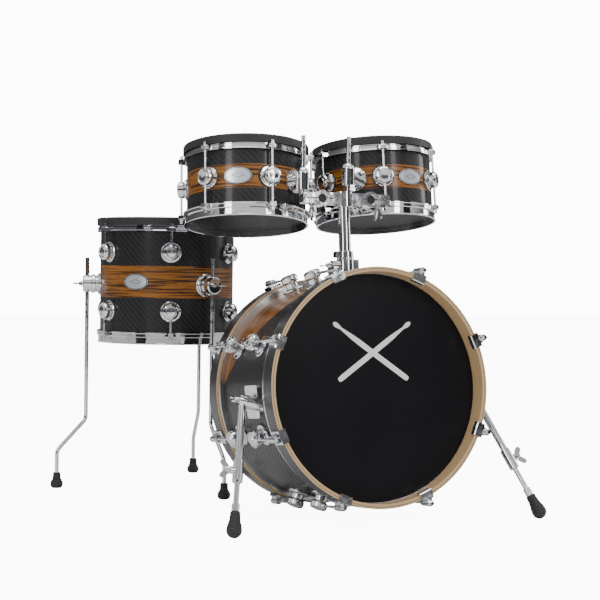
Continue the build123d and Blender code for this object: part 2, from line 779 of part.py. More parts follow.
def make_spur(side, hand):
    pivot = on_plan(SPUR_PIVOT, hand)
    tip = on_plan(SPUR_FOOT, hand)
    down = (tip - pivot).normalized()
    across = Vector(hand, 0, 0)
    hinge = (across - down * across.dot(down)).normalized()
    length = (tip - pivot).length
    leg_frame = Plane(origin=pivot, x_dir=hinge, z_dir=down)
    hinge_frame = Plane(origin=pivot, x_dir=down, z_dir=hinge)

    # outer tube: eye on the hinge, bored tube and the clamp sleeve at its mouth
    sleeve_low, sleeve_high = SPUR_SLEEVE
    with BuildPart() as tube:
        with BuildSketch(hinge_frame.offset(-8)):
            Circle(13.0)
        extrude(amount=16)
        with BuildSketch(leg_frame.offset(4)):
            Circle(SPUR_TUBE_R)
        extrude(amount=sleeve_high - 4)
        with BuildSketch(leg_frame.offset(sleeve_low)):
            Circle(10.5)
        extrude(amount=sleeve_high - sleeve_low)
        with BuildSketch(hinge_frame):
            with Locations(((sleeve_low + sleeve_high) / 2, 0)):
                Circle(7.5)
        extrude(amount=17)
        with BuildSketch(leg_frame.offset(26)):
            Circle(SPUR_LEG_R + 0.08)
        extrude(amount=sleeve_high, mode=Mode.SUBTRACT)
        with BuildSketch(hinge_frame.offset(-10)):
            Circle(4.3)
        extrude(amount=20, mode=Mode.SUBTRACT)
        with BuildSketch(hinge_frame):
            with Locations(((sleeve_low + sleeve_high) / 2, 0)):
                Circle(3.15)
        extrude(amount=18, mode=Mode.SUBTRACT)
    save(tube, f"spur_tube_{side}")

    with BuildPart() as leg:
        with BuildSketch(leg_frame.offset(60)):
            Circle(SPUR_LEG_R)
        extrude(amount=length - 12 - 60)
        with BuildSketch(leg_frame.offset(length - 54)):
            Circle(8.0)
        extrude(amount=17)
    save(leg, f"spur_leg_{side}")

    foot_top = length - 36.5
    with BuildPart() as foot:
        with BuildSketch(Plane(origin=pivot, x_dir=hinge, z_dir=hinge.cross(down))):
            with BuildLine():
                Line((0, length - 11.5), (SPUR_LEG_R + RUN, length - 11.5))
                Line((SPUR_LEG_R + RUN, length - 11.5), (SPUR_LEG_R + RUN, foot_top))
                Line((SPUR_LEG_R + RUN, foot_top), (10.0, foot_top))
                Spline(
                    (10.0, foot_top), (11.6, length - 18), (SPUR_FOOT_R, length),
                    tangents=((0, 1), (0, 1)),
                )
                ThreePointArc(
                    (SPUR_FOOT_R, length),
                    (SPUR_FOOT_R * sqrt(0.5), length + SPUR_FOOT_R * sqrt(0.5)),
                    (0, length + SPUR_FOOT_R),
                )
                Line((0, length + SPUR_FOOT_R), (0, length - 11.5))
            make_face()
        revolve(axis=Axis(pivot, down))
    save(foot, f"spur_foot_{side}")

    leg_screw = hinge_frame.from_local_coords(Vector((sleeve_low + sleeve_high) / 2, 0, 17.3))
    clamp_plane = Plane(origin=leg_screw, x_dir=hinge_frame.x_dir, z_dir=hinge)
    save(place_all(make_wing(3.0, 11.0, span=38.0), [clamp_plane]), f"spur_leg_wing_{side}")
    pivot_plane = Plane(
        origin=pivot + hinge * 8.3, x_dir=hinge_frame.x_dir + hinge_frame.y_dir, z_dir=hinge
    )
    save(place_all(make_wing(4.0, 22.0, span=36.0), [pivot_plane]), f"spur_pivot_wing_{side}")
    return hinge_frame


bracket_solids = []
for side, hand in SIDES.items():
    hinge_frame = make_spur(side, hand)
    angle = -SPUR_PLATE_ANGLE if hand > 0 else 180 + SPUR_PLATE_ANGLE
    plate_frame = station(KICK, angle, KICK_RADIUS, KICK_FRONT_EDGE - SPUR_PLATE_INSET)
    with BuildPart() as spur_bracket:
        with BuildSketch(plate_frame.offset(-8)):
            RectangleRounded(66, 62, 6)
        extrude(amount=12.5)
        with BuildSketch(plate_frame):
            with Locations((0, 8)):
                RectangleRounded(34, 40, 6)
        extrude(amount=14)
        with BuildSketch(hinge_frame.offset(-44)):
            Circle(13.5)
        extrude(amount=35.7)
        with BuildSketch(hinge_frame.offset(-17)):
            Circle(4.05)
        extrude(amount=20, mode=Mode.SUBTRACT)
        with BuildSketch(KICK.offset(-KICK_DEPTH)):
            Circle(KICK_RADIUS + 0.3)
        extrude(amount=2 * KICK_DEPTH, mode=Mode.SUBTRACT)
    bracket_solids.append(spur_bracket.part)
with BuildPart() as spur_brackets:
    for solid in bracket_solids:
        add(solid)
save(spur_brackets, "spur_brackets")
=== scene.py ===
# %% [markdown]
# A compact acoustic drum kit. A kick drum stands on its rear hoop and two spurs, two small toms hang over it on a
# post, and a floor tom stands behind on three bent legs. The CAD part is loaded first as a fixed frame: every
# finish and every added piece below is placed from it, in metres, with +Z up and the audience towards -Y.

import json
from math import cos, pi, radians, sin, tan

import bmesh
import bpy
from mathutils import Matrix, Vector


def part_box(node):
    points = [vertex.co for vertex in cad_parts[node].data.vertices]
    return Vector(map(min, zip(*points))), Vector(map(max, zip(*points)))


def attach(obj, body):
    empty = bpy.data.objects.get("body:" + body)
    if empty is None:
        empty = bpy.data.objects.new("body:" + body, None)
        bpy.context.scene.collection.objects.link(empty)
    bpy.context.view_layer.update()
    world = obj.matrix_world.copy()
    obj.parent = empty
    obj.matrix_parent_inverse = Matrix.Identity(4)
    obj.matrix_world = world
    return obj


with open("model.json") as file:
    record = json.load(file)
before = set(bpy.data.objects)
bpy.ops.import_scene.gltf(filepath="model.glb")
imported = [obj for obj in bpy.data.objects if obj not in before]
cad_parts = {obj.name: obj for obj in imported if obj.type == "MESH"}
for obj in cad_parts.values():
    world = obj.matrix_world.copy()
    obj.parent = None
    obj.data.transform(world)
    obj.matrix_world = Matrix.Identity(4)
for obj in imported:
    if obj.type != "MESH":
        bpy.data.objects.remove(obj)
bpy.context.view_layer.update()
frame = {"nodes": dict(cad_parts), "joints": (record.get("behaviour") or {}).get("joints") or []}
nodes = frame["nodes"]

# %% [markdown]
# Nearly everything on a drum is placed by an angle round the shell and a height along it. So each drum gets its
# own small frame: the middle of its shell, with Z along the drum's axis. The shell's box gives the middle, because
# a tube's box is centred on the tube, and the lean is how the player has tilted it.

# %% A frame for each drum
KICK_TILT = radians(5.63)
TOM_LEAN = radians(9.03)
INCH = 0.0254


def middle(node):
    low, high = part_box(node)
    return (low + high) / 2


def drum_frame(shell, axis, across):
    z = Vector(axis).normalized()
    x = (Vector(across) - z * Vector(across).dot(z)).normalized()
    y = z.cross(x)
    turn = Matrix((x, y, z)).transposed().to_4x4()
    return Matrix.Translation(middle(shell)) @ turn


DRUMS = {
    "kick": {
        "frame": drum_frame("kick_shell", (0, -cos(KICK_TILT), sin(KICK_TILT)), (1, 0, 0)),
        "radius": 9 * INCH, "depth": 10 * INCH, "body": "kick_drum",
        "lug_angles": [22.5 + 45 * k for k in range(8)], "lug_heights": (0.057, -0.057),
    },
    "left_tom": {
        "frame": drum_frame("left_tom_shell", (tan(radians(2.7)), tan(TOM_LEAN), 1), (1, 0, 0)),
        "radius": 5 * INCH, "depth": 5.5 * INCH, "body": "left_tom",
        "lug_angles": [-90 + 60 * k for k in range(6)], "lug_heights": (0,), "badge": -120,
    },
    "right_tom": {
        "frame": drum_frame("right_tom_shell", (0, tan(TOM_LEAN), 1), (1, 0, 0)),
        "radius": 5 * INCH, "depth": 5.5 * INCH, "body": "right_tom",
        "lug_angles": [-108 + 60 * k for k in range(6)], "lug_heights": (0,), "badge": -79,
    },
    "floor_tom": {
        "frame": drum_frame("floor_tom_shell", (0, 0, 1), (1, 0, 0)),
        "radius": 6 * INCH, "depth": 9.875 * INCH, "body": "floor_tom",
        "lug_angles": [-106.3 + 60 * k for k in range(6)], "lug_heights": (0.0654, -0.0654),
        "badge": -136.3,
    },
}
for name, drum in DRUMS.items():
    print(name, "middle at", [round(v, 3) for v in drum["frame"].translation])

# %% [markdown]
# Materials first. Small helpers keep the node code short: one adds a node and fills its inputs, one does a piece
# of arithmetic. A value is either a number or the output socket of another node.

# %% Node helpers


def put(tree, kind, values=None, **settings):
    """Adds a node, sets its options, and fills or links its inputs."""
    node = tree.nodes.new(kind)
    for key, value in settings.items():
        setattr(node, key, value)
    for key, value in (values or {}).items():
        if isinstance(value, bpy.types.NodeSocket):
            tree.links.new(value, node.inputs[key])
        else:
            node.inputs[key].default_value = value
    return node


def calc(tree, operation, a, b=0.0, c=0.0):
    return put(tree, "ShaderNodeMath", {0: a, 1: b, 2: c}, operation=operation).outputs[0]


def blend(tree, amount, first, second):
    """Mixes two colours."""
    node = put(tree, "ShaderNodeMix", data_type="RGBA")
    for socket, value in ((node.inputs[0], amount), (node.inputs[6], first), (node.inputs[7], second)):
        if isinstance(value, bpy.types.NodeSocket):
            tree.links.new(value, socket)
        else:
            socket.default_value = value
    return node.outputs[2]


def new_group(name, inputs, outputs):
    """A shader group whose sockets are (name, kind, default)."""
    tree = bpy.data.node_groups.new(name, "ShaderNodeTree")
    for label, kind, default in inputs:
        socket = tree.interface.new_socket(label, in_out="INPUT", socket_type=kind)
        if default is not None:
            socket.default_value = default
    for label, kind in outputs:
        tree.interface.new_socket(label, in_out="OUTPUT", socket_type=kind)
    return tree, tree.nodes.new("NodeGroupInput"), tree.nodes.new("NodeGroupOutput")


FLOAT, COLOUR, VECTOR = "NodeSocketFloat", "NodeSocketColor", "NodeSocketVector"

# %% [markdown]
# Drum patterns follow the shell, so they need to know how far round and how far along a point is. This group turns
# a position in the drum's frame into a distance round the shell, a height along it and a distance from the axis.

# %% Round and along the shell


def round_the_shell():
    tree, given, out = new_group(
        "Round the shell", [("Place", VECTOR, None), ("Radius", FLOAT, 0.1)],
        [("Round", FLOAT), ("Along", FLOAT), ("Out", FLOAT)],
    )
    xyz = put(tree, "ShaderNodeSeparateXYZ", {0: given.outputs["Place"]})
    angle = calc(tree, "ARCTAN2", xyz.outputs[1], xyz.outputs[0])
    tree.links.new(calc(tree, "MULTIPLY", angle, given.outputs["Radius"]), out.inputs["Round"])
    tree.links.new(xyz.outputs[2], out.inputs["Along"])
    across = calc(tree, "MULTIPLY", xyz.outputs[0], xyz.outputs[0])
    up = calc(tree, "MULTIPLY", xyz.outputs[1], xyz.outputs[1])
    tree.links.new(calc(tree, "SQRT", calc(tree, "ADD", across, up)), out.inputs["Out"])
    return tree


ROUND_GROUP = round_the_shell()

# %% [markdown]
# Carbon cloth is a two-over, two-under twill: flat tows a few millimetres wide that cross, and the crossings step
# over by one tow at each row, which is what draws the diagonal lines. The group counts tows both ways, adds the
# two counts, and the remainder after dividing by four says which tow is on top. Each tow is slightly rounded.

# %% Carbon twill


def carbon_twill():
    tree, given, out = new_group(
        "Carbon twill", [("Round", FLOAT, 0.0), ("Along", FLOAT, 0.0), ("Tow", FLOAT, 0.003)],
        [("Upper", FLOAT), ("Relief", FLOAT)],
    )
    round_count = calc(tree, "DIVIDE", given.outputs["Round"], given.outputs["Tow"])
    along_count = calc(tree, "DIVIDE", given.outputs["Along"], given.outputs["Tow"])
    steps = calc(tree, "ADD", calc(tree, "FLOOR", round_count), calc(tree, "FLOOR", along_count))
    upper = calc(tree, "LESS_THAN", calc(tree, "FLOORED_MODULO", steps, 4.0), 2.0)
    round_swell = calc(tree, "SINE", calc(tree, "MULTIPLY", calc(tree, "FRACT", round_count), pi))
    along_swell = calc(tree, "SINE", calc(tree, "MULTIPLY", calc(tree, "FRACT", along_count), pi))
    relief = put(tree, "ShaderNodeMix", {0: upper, 2: along_swell, 3: round_swell}, data_type="FLOAT")
    tree.links.new(upper, out.inputs["Upper"])
    tree.links.new(relief.outputs[0], out.inputs["Relief"])
    return tree


CARBON_GROUP = carbon_twill()

# %% [markdown]
# The exotic veneer band is amber wood with long dark streaks that run round the drum. Noise stretched strongly
# along one direction gives streaks: a slow one for the amber tone, a sharp one for the dark lines, and a fine one
# for the pores.

# %% Streaked veneer


def streaked_veneer():
    tree, given, out = new_group(
        "Streaked veneer",
        [("Round", FLOAT, 0.0), ("Along", FLOAT, 0.0), ("Light", COLOUR, (0.46, 0.180, 0.022, 1)),
         ("Dark", COLOUR, (0.02, 0.006, 0.002, 1))],
        [("Colour", COLOUR), ("Pores", FLOAT)],
    )
    place = put(tree, "ShaderNodeCombineXYZ", {
        0: calc(tree, "MULTIPLY", given.outputs["Round"], 4.0),
        1: calc(tree, "MULTIPLY", given.outputs["Along"], 150.0),
    }).outputs[0]
    drift = put(tree, "ShaderNodeTexNoise", {"Vector": place, "Scale": 0.6, "Detail": 3.0})
    lines = put(tree, "ShaderNodeTexNoise", {
        "Vector": place, "Scale": 1.9, "Detail": 5.0, "Roughness": 0.62, "Distortion": 0.6,
    })
    fine = put(tree, "ShaderNodeTexNoise", {"Vector": place, "Scale": 7.0, "Detail": 4.0})
    amber = blend(tree, drift.outputs[0], (0.20, 0.062, 0.006, 1), given.outputs["Light"])
    streak = put(tree, "ShaderNodeMapRange", {
        0: lines.outputs[0], 1: 0.45, 2: 0.59, 3: 0.0, 4: 0.96,
    }, interpolation_type="SMOOTHSTEP").outputs[0]
    pores = put(tree, "ShaderNodeMapRange", {0: fine.outputs[0], 1: 0.5, 2: 0.75, 3: 0.0, 4: 0.55}).outputs[0]
    dark = calc(tree, "MAXIMUM", streak, pores)
    tree.links.new(blend(tree, dark, amber, given.outputs["Dark"]), out.inputs["Colour"])
    tree.links.new(pores, out.inputs["Pores"])
    return tree


VENEER_GROUP = streaked_veneer()

# %% [markdown]
# Handling leaves faint smears and fine scratches on anything polished. This group gives one roughness that wanders
# between a clean and a handled value, and a fine speckle, from which the chrome takes its tint.

# %% Handling marks


def handling():
    tree, given, out = new_group(
        "Handling", [("Place", VECTOR, None), ("Clean", FLOAT, 0.05), ("Handled", FLOAT, 0.2),
                     ("Size", FLOAT, 30.0)],
        [("Roughness", FLOAT), ("Speckle", FLOAT)],
    )
    smear = put(tree, "ShaderNodeTexNoise", {
        "Vector": given.outputs["Place"], "Scale": given.outputs["Size"], "Detail": 4.0, "Roughness": 0.6,
    })
    spread = put(tree, "ShaderNodeMapRange", {
        0: smear.outputs[0], 1: 0.35, 2: 0.75, 3: given.outputs["Clean"], 4: given.outputs["Handled"],
    })
    scratch = put(tree, "ShaderNodeTexNoise", {
        "Vector": given.outputs["Place"], "Scale": calc(tree, "MULTIPLY", given.outputs["Size"], 18.0),
        "Detail": 2.0,
    })
    tree.links.new(spread.outputs[0], out.inputs["Roughness"])
    tree.links.new(scratch.outputs[0], out.inputs["Speckle"])
    return tree


HANDLING_GROUP = handling()

# %% Material helpers


def new_material(name, **shader_values):
    """A material with its Principled shader, and a place given by Object coordinates."""
    material = bpy.data.materials.new(name)
    material.use_nodes = True
    tree = material.node_tree
    shader = tree.nodes["Principled BSDF"]
    for key, value in shader_values.items():
        shader.inputs[key.replace("_", " ")].default_value = value
    place = put(tree, "ShaderNodeTexCoord").outputs["Object"]
    return material, tree, shader, place


def use_group(tree, group, values):
    node = put(tree, "ShaderNodeGroup")
    node.node_tree = group
    for key, value in values.items():
        if isinstance(value, bpy.types.NodeSocket):
            tree.links.new(value, node.inputs[key])
        else:
            node.inputs[key].default_value = value
    return node


def in_drum(tree, place, drum):
    """The place as the drum sees it: centred on its shell, with Z along its axis."""
    return put(tree, "ShaderNodeMapping", {
        "Vector": place,
        "Location": DRUMS[drum]["frame"].translation,
        "Rotation": DRUMS[drum]["frame"].to_euler(),
    }, vector_type="TEXTURE").outputs[0]


def bump(tree, shader, height, distance, strength=1.0):
    node = put(tree, "ShaderNodeBump", {"Height": height, "Distance": distance, "Strength": strength})
    tree.links.new(node.outputs[0], shader.inputs["Normal"])


def wear(material, *names):
    """Gives CAD nodes a finished material."""
    for name in names:
        node = nodes[name]
        if not node.material_slots:
            node.data.materials.append(material)
        for slot in node.material_slots:
            slot.material = material


# %% [markdown]
# Chrome is a mirror: metallic, almost white, very smooth. What makes it read as chrome is what it reflects, so the
# finish itself only adds faint smears and the soft waviness of cast or rolled steel.

# %% Chrome


def chrome(name, clean, handled, size, wave):
    material, tree, shader, place = new_material(name, Metallic=1.0)
    marks = use_group(tree, HANDLING_GROUP, {"Place": place, "Clean": clean, "Handled": handled, "Size": size})
    tint = blend(tree, marks.outputs["Speckle"], (0.80, 0.81, 0.83, 1), (0.70, 0.71, 0.73, 1))
    tree.links.new(tint, shader.inputs["Base Color"])
    tree.links.new(marks.outputs["Roughness"], shader.inputs["Roughness"])
    ripple = put(tree, "ShaderNodeTexNoise", {"Vector": place, "Scale": 55.0, "Detail": 1.0})
    bump(tree, shader, ripple.outputs[0], wave, 0.35)
    return material


CHROME = chrome("chrome plate", 0.04, 0.14, 24.0, 0.0006)
CAST_CHROME = chrome("cast and plated", 0.07, 0.20, 40.0, 0.0012)

wear(
    CHROME, "tom_post", "tom_arm_left", "tom_arm_right", "tom_rod_left", "tom_rod_right",
    "floor_leg_left", "floor_leg_front", "floor_leg_rear", "spur_tube_left", "spur_tube_right",
    "spur_leg_left", "spur_leg_right", "kick_tension_rods", "left_tom_rods", "right_tom_rods",
    "floor_tom_rods", "left_tom_hoops", "right_tom_hoops", "floor_tom_hoops", "kick_lugs",
    "left_tom_lugs", "right_tom_lugs", "floor_tom_lugs", "floor_tom_leg_brackets",
    "left_tom_bracket", "right_tom_bracket",
)
wear(
    CAST_CHROME, "kick_claws", "tom_post_base", "tom_holder", "spur_brackets",
    *[name for name in nodes if "wing" in name],
)

# %% [markdown]
# The shells are carbon cloth under clear lacquer, with a veneer band let into them. On a tom the band runs level
# round the middle. On the kick it is a wedge: one slanted cut, wide over the top of the drum and gone by its waist.
# The lacquer is the shader's coat, so its gloss lies over both.

# %% Lacquered shells
# The carbon cloth's two colours draw the twill's real pattern. The lighter tone of the upper tows is also a painted
# sheen: it stands in for the way tows that cross catch the light differently.
CARBON_LOW, CARBON_UPPER_SHEEN, TOW = (0.0040, 0.0040, 0.0050, 1), (0.0140, 0.0140, 0.0170, 1), 0.0034
BAND_HALF = {"left_tom": 0.0255, "right_tom": 0.0255, "floor_tom": 0.0355}
SLANT = 0.93


def shell_material(drum):
    facts = DRUMS[drum]
    material, tree, shader, place = new_material(
        f"{drum} lacquered shell", Coat_Weight=0.35, Coat_Roughness=0.12, Specular_IOR_Level=0.30,
    )
    local = in_drum(tree, place, drum)
    where = use_group(tree, ROUND_GROUP, {"Place": local, "Radius": facts["radius"]})
    round_way, along, out = (where.outputs[k] for k in ("Round", "Along", "Out"))
    cloth = use_group(tree, CARBON_GROUP, {"Round": round_way, "Along": along, "Tow": TOW})
    wood = use_group(tree, VENEER_GROUP, {"Round": round_way, "Along": along})
    # The twill's pattern, with a painted sheen as the lighter tone of the upper tows.
    carbon = blend(tree, cloth.outputs["Upper"], CARBON_LOW, CARBON_UPPER_SHEEN)
    if drum == "kick":
        height = put(tree, "ShaderNodeSeparateXYZ", {0: local}).outputs[1]
        cut = calc(tree, "MULTIPLY", height, SLANT * facts["depth"] / facts["radius"])
        from_rear = calc(tree, "ADD", along, facts["depth"] / 2)
        in_band = calc(tree, "LESS_THAN", from_rear, cut)
    else:
        in_band = calc(tree, "LESS_THAN", calc(tree, "ABSOLUTE", along), BAND_HALF[drum])
    skin = blend(tree, in_band, carbon, wood.outputs["Colour"])
    inside = calc(tree, "LESS_THAN", out, facts["radius"] - 0.0004)
    maple = blend(tree, wood.outputs["Pores"], (0.42, 0.27, 0.13, 1), (0.30, 0.18, 0.08, 1))
    tree.links.new(blend(tree, inside, skin, maple), shader.inputs["Base Color"])
    shine = put(tree, "ShaderNodeMix", {
        0: in_band, 2: calc(tree, "MULTIPLY_ADD", cloth.outputs["Upper"], 0.16, 0.36), 3: 0.34,
    }, data_type="FLOAT")
    tree.links.new(shine.outputs[0], shader.inputs["Roughness"])
    relief = put(tree, "ShaderNodeMix", {0: in_band, 2: cloth.outputs["Relief"], 3: 0.5}, data_type="FLOAT")
    bump(tree, shader, relief.outputs[0], 0.00025, 0.5)
    return material


for drum in DRUMS:
    wear(shell_material(drum), f"{drum}_shell")

# %% [markdown]
# The kick's hoops are bent maple with the same carbon cloth round the outside. The rim that faces forward is bare
# wood, with one dark glue line between its plies, and so is the inside that shows past the head.

# %% Wooden hoops
HOOP_OUT = 0.241
GLUE_LINE_IN, GLUE_LINE_HALF = 0.0046, 0.0005


def hoop_material():
    material, tree, shader, place = new_material("maple and carbon hoop", Coat_Weight=0.4, Coat_Roughness=0.15)
    local = in_drum(tree, place, "kick")
    where = use_group(tree, ROUND_GROUP, {"Place": local, "Radius": HOOP_OUT})
    round_way, along, out = (where.outputs[k] for k in ("Round", "Along", "Out"))
    cloth = use_group(tree, CARBON_GROUP, {"Round": round_way, "Along": along, "Tow": TOW})
    wood = use_group(tree, VENEER_GROUP, {
        "Round": calc(tree, "MULTIPLY", round_way, 0.35), "Along": calc(tree, "ADD", along, out),
        "Light": (0.62, 0.42, 0.21, 1), "Dark": (0.36, 0.22, 0.10, 1),
    })
    grain = put(tree, "ShaderNodeTexNoise", {
        "Vector": put(tree, "ShaderNodeCombineXYZ", {
            0: calc(tree, "MULTIPLY", round_way, 25.0), 1: calc(tree, "MULTIPLY", out, 900.0),
            2: calc(tree, "MULTIPLY", along, 500.0),
        }).outputs[0],
        "Scale": 1.0, "Detail": 4.0,
    })
    maple = blend(tree, grain.outputs[0], (0.66, 0.46, 0.25, 1), (0.44, 0.28, 0.13, 1))
    line = calc(tree, "COMPARE", out, HOOP_OUT - GLUE_LINE_IN, GLUE_LINE_HALF)
    maple = blend(tree, line, maple, (0.05, 0.03, 0.02, 1))
    # The same carbon colours: the lighter tone of the upper tows is a painted sheen.
    carbon = blend(tree, cloth.outputs["Upper"], CARBON_LOW, CARBON_UPPER_SHEEN)
    outside = calc(tree, "GREATER_THAN", out, HOOP_OUT - 0.0005)
    tree.links.new(blend(tree, outside, maple, carbon), shader.inputs["Base Color"])
    shine = put(tree, "ShaderNodeMix", {
        0: outside, 2: calc(tree, "MULTIPLY_ADD", wood.outputs["Pores"], 0.3, 0.42), 3: 0.38,
    }, data_type="FLOAT")
    tree.links.new(shine.outputs[0], shader.inputs["Roughness"])
    relief = put(tree, "ShaderNodeMix", {
        0: outside, 2: grain.outputs[0], 3: cloth.outputs["Relief"],
    }, data_type="FLOAT")
    bump(tree, shader, relief.outputs[0], 0.0002, 0.5)
    return material


wear(hoop_material(), "kick_hoops")

# %% [markdown]
# A head is thin film glued into a metal flesh hoop. Here the film is black, smooth on the kick and faintly coated
# on the toms, and the flesh hoop shows as a thin silver line below the rim.

# %% Drum heads


def head_material(drum, film, roughness, coating):
    facts = DRUMS[drum]
    material, tree, shader, place = new_material(f"{drum} film and flesh hoop", Specular_IOR_Level=0.12)
    local = in_drum(tree, place, drum)
    where = use_group(tree, ROUND_GROUP, {"Place": local, "Radius": facts["radius"]})
    depth = calc(tree, "ABSOLUTE", where.outputs["Along"])
    metal = calc(tree, "MULTIPLY",
                 calc(tree, "LESS_THAN", depth, facts["depth"] / 2 - 0.0022),
                 calc(tree, "GREATER_THAN", where.outputs["Out"], facts["radius"] + 0.0002))
    cloud = put(tree, "ShaderNodeTexNoise", {"Vector": local, "Scale": 9.0, "Detail": 3.0})
    grit = put(tree, "ShaderNodeTexNoise", {"Vector": local, "Scale": 1400.0, "Detail": 1.0})
    shade = blend(tree, cloud.outputs[0], film, tuple(1.35 * c for c in film[:3]) + (1,))
    tree.links.new(blend(tree, metal, shade, (0.72, 0.73, 0.75, 1)), shader.inputs["Base Color"])
    tree.links.new(metal, shader.inputs["Metallic"])
    rough = calc(tree, "MULTIPLY_ADD", cloud.outputs[0], 0.05, roughness)
    tree.links.new(put(tree, "ShaderNodeMix", {0: metal, 2: rough, 3: 0.22}, data_type="FLOAT").outputs[0],
                   shader.inputs["Roughness"])
    bump(tree, shader, grit.outputs[0], coating, 0.4)
    return material


wear(head_material("kick", (0.0070, 0.0066, 0.0082, 1), 0.26, 0.00001), "kick_heads")
for drum in ("left_tom", "right_tom", "floor_tom"):
    wear(head_material(drum, (0.008, 0.008, 0.009, 1), 0.50, 0.00008), f"{drum}_heads")

# %% [markdown]
# Rubber is matt black and slightly dusty. The feet are ribbed so that they grip, with a rib about every 5 mm. The
# ribs are a wave along the foot's own axis. The bump only shades them: it doesn't change the foot's outline.

# %% Rubber


def rubber(name, foot=None, axis=(0, 0, 1), pitch=0.0052):
    material, tree, shader, place = new_material(name)
    dust = put(tree, "ShaderNodeTexNoise", {"Vector": place, "Scale": 45.0, "Detail": 5.0})
    skin = put(tree, "ShaderNodeTexNoise", {"Vector": place, "Scale": 900.0, "Detail": 2.0})
    tree.links.new(blend(tree, dust.outputs[0], (0.008, 0.008, 0.009, 1), (0.026, 0.026, 0.028, 1)),
                   shader.inputs["Base Color"])
    tree.links.new(calc(tree, "MULTIPLY_ADD", dust.outputs[0], 0.25, 0.42), shader.inputs["Roughness"])
    if foot is None:
        bump(tree, shader, skin.outputs[0], 0.00015, 0.4)
        return material
    turn = Vector(axis).to_track_quat("Z", "Y").to_euler()
    local = put(tree, "ShaderNodeMapping", {
        "Vector": place, "Location": middle(foot), "Rotation": turn,
    }, vector_type="TEXTURE").outputs[0]
    height = put(tree, "ShaderNodeSeparateXYZ", {0: local}).outputs[2]
    ribs = calc(tree, "SINE", calc(tree, "MULTIPLY", height, 2 * pi / pitch))
    ribs = calc(tree, "MULTIPLY_ADD", ribs, 0.5, calc(tree, "MULTIPLY", skin.outputs[0], 0.1))
    bump(tree, shader, ribs, 0.0022, 0.8)
    return material


SPUR_DOWN = (0.2616, -0.5143, -0.8168)
RUBBER = rubber("black rubber")
wear(RUBBER, "left_tom_rubber_rim", "right_tom_rubber_rim", "floor_tom_rubber_rim")
for leg in ("left", "front", "rear"):
    wear(rubber(f"{leg} foot rubber", f"floor_foot_{leg}"), f"floor_foot_{leg}")
for side, hand in (("left", -1), ("right", 1)):
    down_leg = (hand * SPUR_DOWN[0], SPUR_DOWN[1], SPUR_DOWN[2])
    wear(rubber(f"{side} spur rubber", f"spur_foot_{side}", down_leg), f"spur_foot_{side}")

# %% [markdown]
# The badge is a plain oval of brushed metal. Its outline is a dark engraved ring, and a small engraved lozenge
# stands where a maker would put a name. Both are drawn by how far a point is from the badge's middle.

# %% Oval badges
BADGE_LONG, BADGE_HIGH = 0.030, 0.0175
RING_AT, RING_HALF, EDGE_AT = 0.90, 0.035, 0.972
LOZENGE_AT, LOZENGE_HALF = 0.86, 0.09


def badge_material(drum):
    facts = DRUMS[drum]
    material, tree, shader, place = new_material(f"{drum} badge", Metallic=0.85)
    where = use_group(tree, ROUND_GROUP, {"Place": in_drum(tree, place, drum), "Radius": facts["radius"]})
    sideways = calc(tree, "SUBTRACT", where.outputs["Round"], radians(facts["badge"]) * facts["radius"])
    x = calc(tree, "DIVIDE", sideways, BADGE_LONG)
    y = calc(tree, "DIVIDE", where.outputs["Along"], BADGE_HIGH)
    oval = calc(tree, "SQRT", calc(tree, "ADD", calc(tree, "MULTIPLY", x, x), calc(tree, "MULTIPLY", y, y)))
    ring = calc(tree, "COMPARE", oval, RING_AT, RING_HALF)
    edge = calc(tree, "GREATER_THAN", oval, EDGE_AT)
    lozenge = calc(tree, "ADD", calc(tree, "MULTIPLY", calc(tree, "ABSOLUTE", x), 2.0),
                   calc(tree, "MULTIPLY", calc(tree, "ABSOLUTE", y), 3.2))
    mark = calc(tree, "COMPARE", lozenge, LOZENGE_AT, LOZENGE_HALF)
    dark = calc(tree, "MAXIMUM", calc(tree, "MAXIMUM", ring, mark), edge)
    brushed = put(tree, "ShaderNodeTexNoise", {
        "Vector": put(tree, "ShaderNodeCombineXYZ", {
            0: calc(tree, "MULTIPLY", sideways, 60.0),
            1: calc(tree, "MULTIPLY", where.outputs["Along"], 3000.0)}).outputs[0],
        "Scale": 1.0, "Detail": 2.0,
    })
    plate = blend(tree, brushed.outputs[0], (0.62, 0.66, 0.76, 1), (0.86, 0.88, 0.93, 1))
    tree.links.new(blend(tree, dark, plate, (0.03, 0.03, 0.035, 1)), shader.inputs["Base Color"])
    tree.links.new(calc(tree, "MULTIPLY_ADD", dark, 0.25, 0.28), shader.inputs["Roughness"])
    bump(tree, shader, calc(tree, "SUBTRACT", 1.0, dark), 0.0003, 0.6)
    return material


for drum in ("left_tom", "right_tom", "floor_tom"):
    wear(badge_material(drum), f"{drum}_badge")

# %% [markdown]
# Now the pieces that the frame leaves to Blender. Each starts as a bmesh and ends as an object at the origin, with
# its place in its mesh, riding on the body that it belongs to.

# %% Piece helpers
made = []


def finish_piece(name, mesh_work, body, material, smooth=40):
    """Turns a bmesh into a finished object that rides on a body."""
    bmesh.ops.recalc_face_normals(mesh_work, faces=mesh_work.faces)
    mesh = bpy.data.meshes.new(name)
    mesh_work.to_mesh(mesh)
    mesh_work.free()
    mesh.materials.append(material)
    piece = bpy.data.objects.new(name, mesh)
    bpy.context.scene.collection.objects.link(piece)
    mesh.shade_smooth()
    mesh.set_sharp_from_angle(angle=radians(smooth))
    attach(piece, body)
    made.append(name)
    return piece


def on_wall(drum, angle, height, lift=0.0):
    """A frame on a drum's wall: Z away from the wall, Y along the drum."""
    facts = DRUMS[drum]
    a = radians(angle)
    outward = Vector((cos(a), sin(a), 0))
    along = Vector((0, 0, 1))
    local = Matrix((along.cross(outward), along, outward)).transposed().to_4x4()
    local.translation = outward * (facts["radius"] + lift) + along * height
    return facts["frame"] @ local


